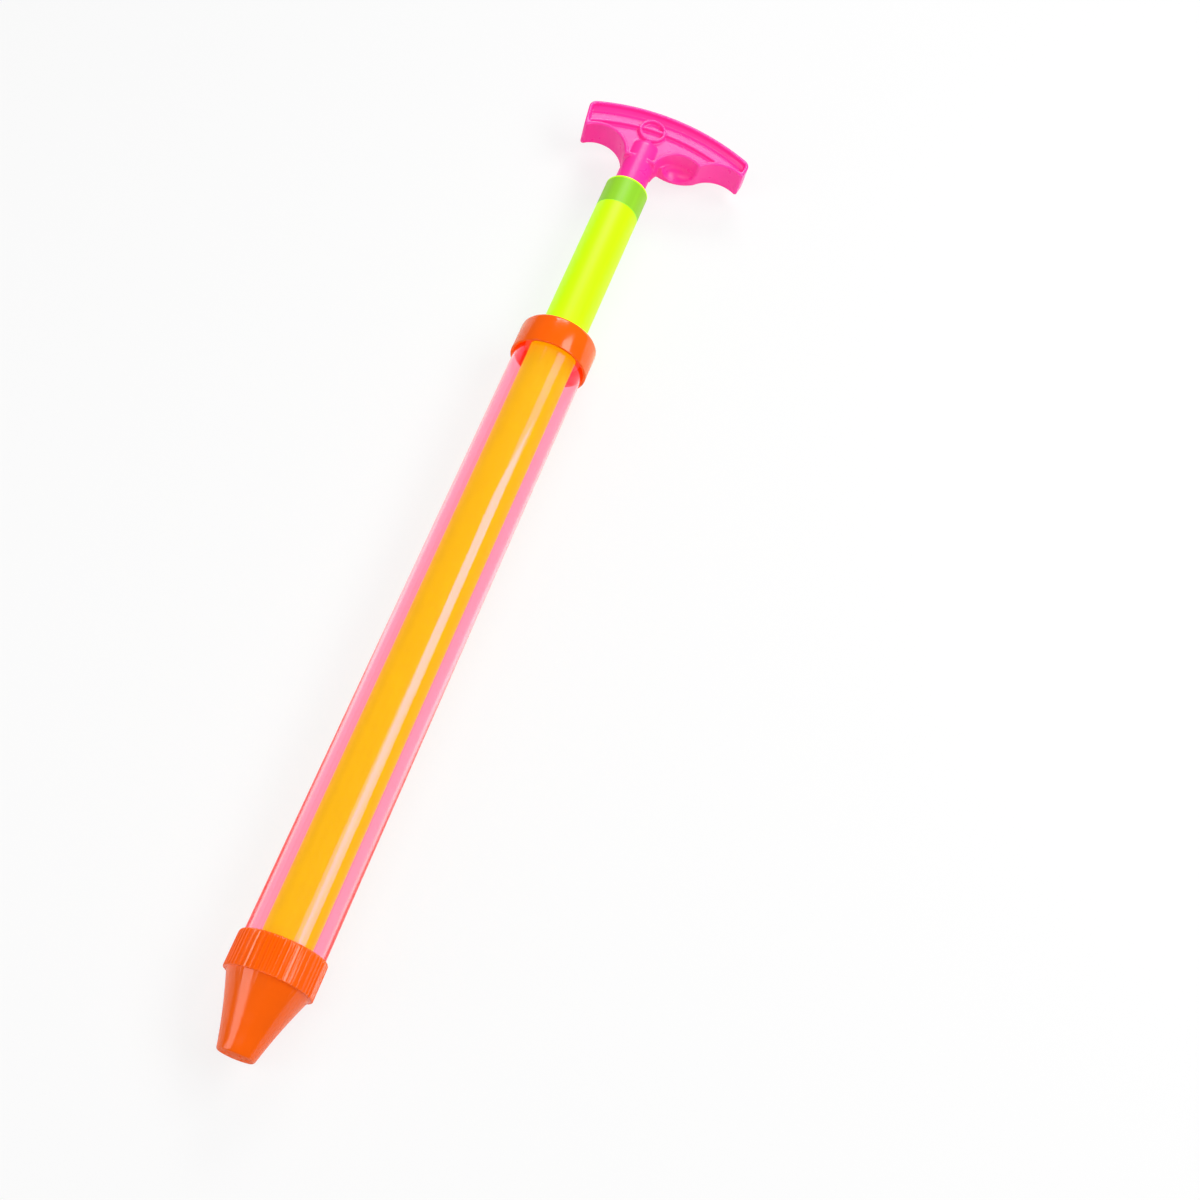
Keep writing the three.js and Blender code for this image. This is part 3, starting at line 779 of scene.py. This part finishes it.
class SQUIRTER_OT_piston(bpy.types.Operator):
    """Models the piston and the plug that close the rod's two ends"""

    bl_idname = "squirter.piston"
    bl_label = "Piston and Plug"

    def execute(self, context):
        tubes = context.scene.squirter_tubes
        fill = tubes.rod_diameter / 2 - tubes.rod_wall - tubes.slip
        piston = turned_piece("ringed_piston", self.piston_profile(tubes, fill), closed=False)
        fit_piece(context, piston, "plunger", "orange_plastic", "piston")

        start, end = PLUG_X
        socket = tubes.peg_diameter / 2 + tubes.slip
        floor = end - tubes.peg_length - tubes.seat
        plug = turned_piece(
            "rod_end_plug",
            [
                (0.0, start, 0.0),
                (fill, start, tubes.tube_edge),
                (fill, end, tubes.tube_edge),
                (socket, end, tubes.tube_edge),
                (socket, floor, 0.0),
                (0.0, floor, 0.0),
            ],
            closed=False,
        )
        fit_piece(context, plug, "plunger", "plug_plastic", "rod_plug")
        return {"FINISHED"}

    def piston_profile(self, tubes, fill):
        """Cored head, ring groove and hollow spigot, from the axis back to the axis."""
        start, spigot_end = PISTON_X
        bore = BARREL_RADIUS - tubes.barrel_wall
        head = bore - tubes.slip
        groove = bore - tubes.ring_gap - tubes.ring_section - tubes.seat
        edge = tubes.tube_edge
        ring_middle = sum(RING_X) / 2
        groove_half = tubes.ring_section / 2 + tubes.seat
        top = start + tubes.piston_head
        core_top = start + tubes.piston_core_depth
        return [
            (0.0, core_top, 0.0),
            (tubes.piston_core / 2, core_top, 0.0),
            (tubes.piston_core / 2, start, edge),
            (head, start, edge),
            (head, ring_middle - groove_half, edge),
            (groove, ring_middle - groove_half, 0.0),
            (groove, ring_middle + groove_half, 0.0),
            (head, ring_middle + groove_half, edge),
            (head, top, edge),
            (fill, top, 0.0),
            (fill, spigot_end, edge),
            (fill - tubes.spigot_wall, spigot_end, edge),
            (fill - tubes.spigot_wall, top, 0.0),
            (0.0, top, 0.0),
        ]


# How finely the grip's shapes are divided before they are joined and cut.
ARC_STEP = math.radians(2.0)
ARC_STEPS_LEAST = 3
EDGE_STEPS = 3
WIDE_SIDES = 720
RING_SIDES = 96
WEB_SIDES = 360
SCALLOP_SIDES = 180
DISH_AROUND = 96
DISH_DOWN = 48
# Vertices of the outline closer than this are one vertex.
OUTLINE_MERGE = 1e-7
# Edges that rise by less than this are level.
LEVEL = MM / 10
# The smoothing that gives the moulded grip its soft edges.
SOFT_FACTOR = 0.5
SOFT_ROUNDS = 5


class Arc:
    """A round stretch of the grip's outline: its centre, radius, and first and last angle."""

    def __init__(self, centre, radius, first, last):
        self.centre = centre
        self.radius = radius
        self.first = first
        self.last = last

    def start(self):
        """Where the stretch begins."""
        turn = Vector((math.cos(self.first), math.sin(self.first)))
        return self.centre + self.radius * turn


def bearing(start, end):
    """Angle of the way from one point to another."""
    way = end - start
    return math.atan2(way.y, way.x)


def first_meeting(point, way, centre, radius):
    """Where a straight way first meets a circle."""
    offset = point - centre
    along = way.dot(offset)
    depth = along * along - offset.dot(offset) + radius * radius
    return point + way * (-along - math.sqrt(max(depth, 0.0)))


def upper_crossing(left, left_radius, right, right_radius):
    """The upper crossing of two circles side by side."""
    gap = (right - left).length
    along = (gap * gap + left_radius**2 - right_radius**2) / (2 * gap)
    up = math.sqrt(max(left_radius**2 - along * along, 0.0))
    way = (right - left) / gap
    return left + way * along + Vector((-way.y, way.x)) * up


class GripShape:
    """The grip's outline and panels, as (across, up) from the rod's end on the pump's axis."""

    def __init__(self, sizes):
        self.sizes = sizes
        stem = sizes.stem_diameter / 2
        self.arch = Vector((sizes.offset, sizes.height - sizes.arch_radius))
        self.rib = Vector((sizes.offset, sizes.rib_top - sizes.rib_radius))
        self.ring = Vector((0.0, sizes.ring_height))
        self.single = Vector(
            (-stem - sizes.single_radius, sizes.single_top - sizes.single_radius)
        )
        self.inner = Vector((stem + sizes.inner_radius, sizes.inner_top - sizes.inner_radius))
        self.outer = Vector(
            (self.inner.x + sizes.finger_pitch, sizes.outer_top - sizes.outer_radius)
        )

    def outline(self, inset):
        """The bar's outline drawn in by an inset, as arcs that straight stretches join."""
        sizes = self.sizes
        lean = sizes.lean
        half = sizes.span / 2 - inset
        arch_radius = sizes.arch_radius - inset
        foot = sizes.foot_round
        corner = max(sizes.arch_corner - inset, foot)
        single_radius = sizes.single_radius + inset
        inner_radius = sizes.inner_radius + inset
        outer_radius = sizes.outer_radius + inset
        shoulder = self.arch.y + math.sqrt(arch_radius**2 - half * half)

        def end_rounds(side, scallop, scallop_radius):
            """Centres of the upper and lower rounds of one leaning end."""
            down = Vector((-side * math.sin(lean), -math.cos(lean)))
            out = Vector((side * math.cos(lean), -math.sin(lean)))
            top = Vector((sizes.offset + side * half, shoulder))
            upper = first_meeting(top - out * corner, down, self.arch, arch_radius - corner)
            lower = first_meeting(top - out * foot, down, scallop, scallop_radius + foot)
            return upper, lower

        long_corner, long_foot = end_rounds(1, self.outer, outer_radius)
        short_corner, short_foot = end_rounds(-1, self.single, single_radius)
        cusp = upper_crossing(self.inner, inner_radius + foot, self.outer, outer_radius + foot)
        bar_foot = sizes.bar_foot + inset
        single_end = math.asin((bar_foot - self.single.y) / single_radius)
        inner_start = math.pi - math.asin((bar_foot - self.inner.y) / inner_radius)
        long_top = bearing(self.arch, long_corner)
        short_top = bearing(self.arch, short_corner)
        return [
            Arc(long_foot, foot, bearing(long_foot, self.outer), -lean),
            Arc(long_corner, corner, -lean, long_top),
            Arc(self.arch, arch_radius, long_top, short_top),
            Arc(short_corner, corner, short_top, math.pi + lean),
            Arc(
                short_foot,
                foot,
                math.pi + lean,
                bearing(short_foot, self.single) + 2 * math.pi,
            ),
            Arc(self.single, single_radius, bearing(self.single, short_foot), single_end),
            Arc(self.inner, inner_radius, inner_start, bearing(self.inner, cusp)),
            Arc(cusp, foot, bearing(cusp, self.inner), bearing(cusp, self.outer)),
            Arc(
                self.outer,
                outer_radius,
                bearing(self.outer, cusp),
                bearing(self.outer, long_foot),
            ),
        ]


def outline_slab(arcs, low, high, edge=0.0):
    """A slab between two heights whose outline follows the arcs, with rounded edges if asked."""
    bm = bmesh.new()
    chains = []
    for arc in arcs:
        start = arc.start()
        vert = bm.verts.new((start.x, start.y, low))
        sweep = arc.last - arc.first
        turned = bmesh.ops.spin(
            bm,
            geom=[vert],
            cent=(arc.centre.x, arc.centre.y, low),
            axis=(0.0, 0.0, 1.0),
            angle=sweep,
            steps=max(int(abs(sweep) / ARC_STEP), ARC_STEPS_LEAST),
        )
        chains.append((vert, turned["geom_last"][0]))
    for (_, last), (first, _) in zip(chains, chains[1:] + chains[:1]):
        if (last.co - first.co).length > OUTLINE_MERGE:
            bm.edges.new((last, first))
    bmesh.ops.remove_doubles(bm, verts=bm.verts, dist=OUTLINE_MERGE)
    bmesh.ops.edgeloop_fill(bm, edges=bm.edges)
    raised = bmesh.ops.extrude_face_region(bm, geom=bm.faces[:])
    verts = [item for item in raised["geom"] if isinstance(item, bmesh.types.BMVert)]
    bmesh.ops.translate(bm, verts=verts, vec=(0.0, 0.0, high - low))
    bmesh.ops.recalc_face_normals(bm, faces=bm.faces)
    if edge > 0:
        rims = []
        for item in bm.edges:
            first, second = item.verts
            if abs(first.co.z - second.co.z) < LEVEL:
                rims.append(item)
        bmesh.ops.bevel(
            bm,
            geom=rims,
            offset=edge,
            offset_type="OFFSET",
            affect="EDGES",
            segments=EDGE_STEPS,
            profile=0.5,
            material=-1,
        )
    return bm


def drum(centre, low_radius, high_radius, low, high, segments):
    """A round block between two heights, straight or tapered."""
    bm = bmesh.new()
    bmesh.ops.create_cone(
        bm,
        cap_ends=True,
        segments=segments,
        radius1=low_radius,
        radius2=high_radius,
        depth=high - low,
        matrix=Matrix.Translation((centre.x, centre.y, (low + high) / 2)),
    )
    return new_object("drum", bm)


class SQUIRTER_OT_grip(bpy.types.Operator):
    """Models the moulded grip with its scallops, panels, rib, ring, stem and peg"""

    bl_idname = "squirter.grip"
    bl_label = "Grip"

    def execute(self, context):
        sizes = context.scene.squirter_grip
        tubes = context.scene.squirter_tubes
        shape = GripShape(sizes)
        half = sizes.thickness / 2
        bar = outline_slab(shape.outline(0.0), -half, half, sizes.edge)
        grip = new_object("moulded_grip", bar)
        combine(grip, self.web(shape), "UNION")
        for side in (1, -1):
            combine(grip, self.panels(shape, side), "DIFFERENCE")
        combine(grip, self.stem(sizes, tubes), "UNION")
        self.soften(grip, sizes)
        self.place(grip, sizes, tubes)
        fit_piece(context, grip, "plunger", "pink_plastic", "grip_handle")
        return {"FINISHED"}

    def panels(self, shape, side):
        """What is sunk into one face: the panels, less their rib and ring."""
        sizes = shape.sizes
        half = sizes.thickness / 2
        out = half + sizes.rim
        inside = shape.outline(sizes.rim)
        upper_floor = half - sizes.upper_depth
        lower_floor = half - sizes.lower_depth
        rib_inner = sizes.rib_radius - sizes.rib_width / 2
        rib_outer = sizes.rib_radius + sizes.rib_width / 2
        back = sizes.arch_radius - sizes.arch_rim
        ring = sizes.ring_diameter / 2
        wide = WIDE_SIDES
        fine = RING_SIDES

        upper = new_object("upper_panel", outline_slab(inside, upper_floor, out))
        slope_top = upper_floor + sizes.upper_slope
        sloped = drum(shape.arch, back - sizes.upper_slope, back, upper_floor, slope_top, wide)
        above = drum(shape.arch, back, back, slope_top, out + MM, wide)
        combine(sloped, above, "UNION")
        combine(upper, sloped, "INTERSECT")
        combine(upper, drum(shape.rib, rib_outer, rib_outer, 0.0, 2 * out, wide), "DIFFERENCE")

        lower = new_object("lower_panel", outline_slab(inside, lower_floor, out))
        combine(lower, drum(shape.rib, rib_inner, rib_inner, 0.0, 2 * out, wide), "INTERSECT")
        combine(upper, lower, "UNION")
        rib_top = new_object("rib_top", outline_slab(inside, half - sizes.rib_drop, out))
        combine(upper, rib_top, "UNION")
        combine(upper, drum(shape.ring, ring, ring, 0.0, 2 * out, fine), "DIFFERENCE")

        hollow = ring - sizes.ring_wall
        pit = drum(shape.ring, hollow, hollow, lower_floor, out, fine)
        across = drum(shape.rib, rib_outer, rib_outer, 0.0, half - sizes.rib_drop, wide)
        combine(
            across, drum(shape.rib, rib_inner, rib_inner, -MM, half + MM, wide), "DIFFERENCE"
        )
        combine(pit, across, "DIFFERENCE")
        combine(upper, pit, "UNION")
        lid = drum(shape.ring, ring, ring, half - sizes.ring_drop, out, fine)
        combine(upper, lid, "UNION")
        if side < 0:
            bm = bmesh.new()
            bm.from_mesh(upper.data)
            bmesh.ops.scale(bm, vec=(1.0, 1.0, -1.0), verts=bm.verts)
            bmesh.ops.reverse_faces(bm, faces=bm.faces)
            bm.to_mesh(upper.data)
            bm.free()
        return upper

    def web(self, shape):
        """The dished web across the lower half of the inner scallop."""
        sizes = shape.sizes
        half = sizes.thickness / 2
        foot = sizes.inner_top - sizes.web_depth
        bow = Vector((shape.inner.x - sizes.web_shift, foot + sizes.web_radius))
        fill = sizes.inner_radius + MM
        web = drum(bow, sizes.web_radius, sizes.web_radius, -half, 0.0, WEB_SIDES)
        scallop = drum(shape.inner, fill, fill, -half - MM, MM, SCALLOP_SIDES)
        combine(web, scallop, "INTERSECT")
        bm = bmesh.new()
        bmesh.ops.create_uvsphere(
            bm,
            u_segments=DISH_AROUND,
            v_segments=DISH_DOWN,
            radius=1.0,
            matrix=Matrix.Translation((shape.inner.x, foot, 0.0))
            @ Matrix.Diagonal((sizes.dish_length / 2, sizes.web_depth, sizes.dish_depth, 1.0)),
        )
        combine(web, new_object("dish", bm), "DIFFERENCE")
        return web

    def stem(self, sizes, tubes):
        """The round stem with its domed end, and the peg under it."""
        stem = sizes.stem_diameter / 2
        peg = tubes.peg_diameter / 2
        corners = [
            (0.0, -tubes.peg_length, 0.0),
            (peg, -tubes.peg_length, tubes.tube_edge),
            (peg, 0.0, 0.0),
            (stem, 0.0, tubes.tube_edge),
            (stem, sizes.stem_reach, sizes.stem_end),
            (0.0, sizes.stem_reach, 0.0),
        ]
        bm = profile_mesh(corners, closed=False)
        turn_profile(bm, STEM_STEPS)
        back = Matrix.Rotation(math.pi / 2, 4, "Z") @ Matrix.Translation(-on_axis(0.0, 0.0))
        bmesh.ops.transform(bm, matrix=back, verts=bm.verts)
        return new_object("stem", bm)

    def soften(self, grip, sizes):
        """Gives the grip an even skin and the soft edges of a moulding."""
        skin = grip.modifiers.new("Skin", "REMESH")
        skin.mode = "VOXEL"
        skin.voxel_size = sizes.grain
        skin.use_smooth_shade = True
        smooth = grip.modifiers.new("Soft Edges", "SMOOTH")
        smooth.factor = SOFT_FACTOR
        smooth.iterations = SOFT_ROUNDS
        apply_modifiers(grip)

    def place(self, grip, sizes, tubes):
        """Stands the grip on the rod's end, with its long arm to -Y, and turns it."""
        seat = on_axis(0.0, ROD_X[1] + tubes.seat)
        turned = Matrix.Rotation(sizes.turn, 4, "X") @ Matrix.Rotation(-math.pi / 2, 4, "Z")
        grip.data.transform(Matrix.Translation(seat) @ turned)
        grip.data.update()


# Each lamp's place, the way that its long side runs, its two sides in metres and its power.
LAMPS = {
    "Strip": ((0.18, -0.56, 0.7), (0.59, 0.26, 0.0), (0.9, 0.36), 5.5),
    "Back": ((1.35, 0.12, 0.95), (0.0, 1.0, 0.0), (0.7, 0.45), 9.0),
    "Top": ((-0.38, 0.1, 1.0), (0.0, 1.0, 0.0), (0.7, 0.3), 2.5),
    "Fill": ((-0.6, 0.7, 0.5), (0.0, 0.0, 1.0), (0.8, 0.3), 2.3),
}
# Half of the floor's side, its colour and roughness, and how much of it shows as plain white.
FLOOR_REACH = 4.0
FLOOR_COLOUR = (0.9, 0.9, 0.9, 1.0)
FLOOR_ROUGHNESS = 0.9
FLOOR_WHITE = 0.8
WHITE = (1.0, 1.0, 1.0, 1.0)
# Strength of the even light from all round.
SKY_LIGHT = 0.12
# The photograph's view: place from the nozzle's tip, the ways ahead and right, and the lens.
CAMERA_FROM_TIP = Vector((-0.0887, -0.1003, 0.6197))
CAMERA_AHEAD = Vector((0.4446, 0.0586, -0.894)).normalized()
CAMERA_RIGHT = Vector((0.3346, -0.9367, 0.105)).normalized()
CAMERA_SENSOR = 36.0
CAMERA_LENS = 50.745


class SQUIRTER_OT_stage(bpy.types.Operator):
    """Sets up the pale floor, the soft light and the camera"""

    bl_idname = "squirter.stage"
    bl_label = "Stage"

    def execute(self, context):
        scene = context.scene
        scene.view_settings.view_transform = "Standard"
        self.floor()
        self.sky(scene)
        for name, (place, along, size, power) in LAMPS.items():
            self.lamp(name, Vector(place), Vector(along), size, power)
        self.camera(scene)
        return {"FINISHED"}

    def floor(self):
        """A wide pale floor that shows the background's white and keeps soft shadows."""
        bm = bmesh.new()
        bmesh.ops.create_grid(bm, x_segments=1, y_segments=1, size=FLOOR_REACH)
        floor = new_object("floor", bm)
        material, tree, surface = shader("pale_floor")
        surface.inputs["Base Color"].default_value = FLOOR_COLOUR
        surface.inputs["Roughness"].default_value = FLOOR_ROUGHNESS
        white = tree.nodes.new("ShaderNodeEmission")
        mix = tree.nodes.new("ShaderNodeMixShader")
        output = tree.nodes["Material Output"]
        tree.links.new(self.seen(tree), mix.inputs["Fac"])
        tree.links.new(surface.outputs["BSDF"], mix.inputs[1])
        tree.links.new(white.outputs["Emission"], mix.inputs[2])
        tree.links.new(mix.outputs["Shader"], output.inputs["Surface"])
        floor.data.materials.append(material)

    def seen(self, tree):
        """How much of a ray sees plain white: most straight on, all through a tube."""
        path = tree.nodes.new("ShaderNodeLightPath")
        straight = tree.nodes.new("ShaderNodeMath")
        straight.operation = "MULTIPLY"
        straight.inputs[1].default_value = FLOOR_WHITE
        through = tree.nodes.new("ShaderNodeMath")
        through.operation = "MAXIMUM"
        tree.links.new(path.outputs["Is Camera Ray"], straight.inputs[0])
        tree.links.new(straight.outputs[0], through.inputs[0])
        tree.links.new(path.outputs["Is Transmission Ray"], through.inputs[1])
        return through.outputs[0]

    def sky(self, scene):
        """A soft even light from all round, which shows as plain white behind the floor."""
        world = bpy.data.worlds.new("studio")
        world.use_nodes = True
        tree = world.node_tree
        background = tree.nodes["Background"]
        background.inputs["Color"].default_value = WHITE
        path = tree.nodes.new("ShaderNodeLightPath")
        strength = tree.nodes.new("ShaderNodeMath")
        strength.operation = "MAXIMUM"
        strength.inputs[1].default_value = SKY_LIGHT
        tree.links.new(path.outputs["Is Camera Ray"], strength.inputs[0])
        tree.links.new(strength.outputs[0], background.inputs["Strength"])
        scene.world = world

    def lamp(self, name, place, along, size, power):
        """A soft lamp aimed at the middle of the squirter, its long side along a given way."""
        light = bpy.data.lights.new(name, "AREA")
        light.shape = "RECTANGLE"
        light.size, light.size_y = size
        light.energy = power
        back = place.normalized()
        side = (along - back * along.dot(back)).normalized()
        turn = Matrix((side, back.cross(side), back)).transposed().to_4x4()
        lamp = bpy.data.objects.new(name, light)
        lamp.matrix_world = Matrix.Translation(place) @ turn
        bpy.context.scene.collection.objects.link(lamp)

    def camera(self, scene):
        """The photograph's view, from above the nozzle's end."""
        lens = bpy.data.cameras.new("camera")
        lens.sensor_width = CAMERA_SENSOR
        lens.lens = CAMERA_LENS
        camera = bpy.data.objects.new("camera", lens)
        ahead = CAMERA_AHEAD
        right = (CAMERA_RIGHT - ahead * CAMERA_RIGHT.dot(ahead)).normalized()
        up = right.cross(ahead)
        turn = Matrix((right, up, -ahead)).transposed().to_4x4()
        place = on_axis(0.0, TIP_X) + CAMERA_FROM_TIP
        camera.matrix_world = Matrix.Translation(place) @ turn
        scene.collection.objects.link(camera)
        scene.camera = camera


class SQUIRTER_PT_panel(bpy.types.Panel):
    """Lists the squirter's pieces in the sidebar"""

    bl_idname = "SQUIRTER_PT_panel"
    bl_label = "Water Squirter"
    bl_space_type = "VIEW_3D"
    bl_region_type = "UI"
    bl_category = "Squirter"

    def draw(self, context):
        for operator in PIECES:
            self.layout.operator(operator.bl_idname)


PIECES = (
    SQUIRTER_OT_tubes,
    SQUIRTER_OT_nozzle,
    SQUIRTER_OT_end_cap,
    SQUIRTER_OT_seals,
    SQUIRTER_OT_piston,
    SQUIRTER_OT_grip,
    SQUIRTER_OT_stage,
)
GROUPS = {
    "squirter_tubes": TubeSizes,
    "squirter_caps": CapSizes,
    "squirter_grip": GripSizes,
    "squirter_finishes": Finishes,
}


def register():
    """Registers the settings, the operators and the panel."""
    for name, group in GROUPS.items():
        bpy.utils.register_class(group)
        setattr(bpy.types.Scene, name, bpy.props.PointerProperty(type=group))
    for operator in PIECES:
        bpy.utils.register_class(operator)
    bpy.utils.register_class(SQUIRTER_PT_panel)


def unregister():
    """Takes the settings, the operators and the panel away again."""
    bpy.utils.unregister_class(SQUIRTER_PT_panel)
    for operator in reversed(PIECES):
        bpy.utils.unregister_class(operator)
    for name, group in reversed(list(GROUPS.items())):
        delattr(bpy.types.Scene, name)
        bpy.utils.unregister_class(group)


def main():
    """Makes every piece."""
    register()
    for operator in PIECES:
        area, name = operator.bl_idname.split(".")
        getattr(getattr(bpy.ops, area), name)()


if __name__ == "__main__":
    main()
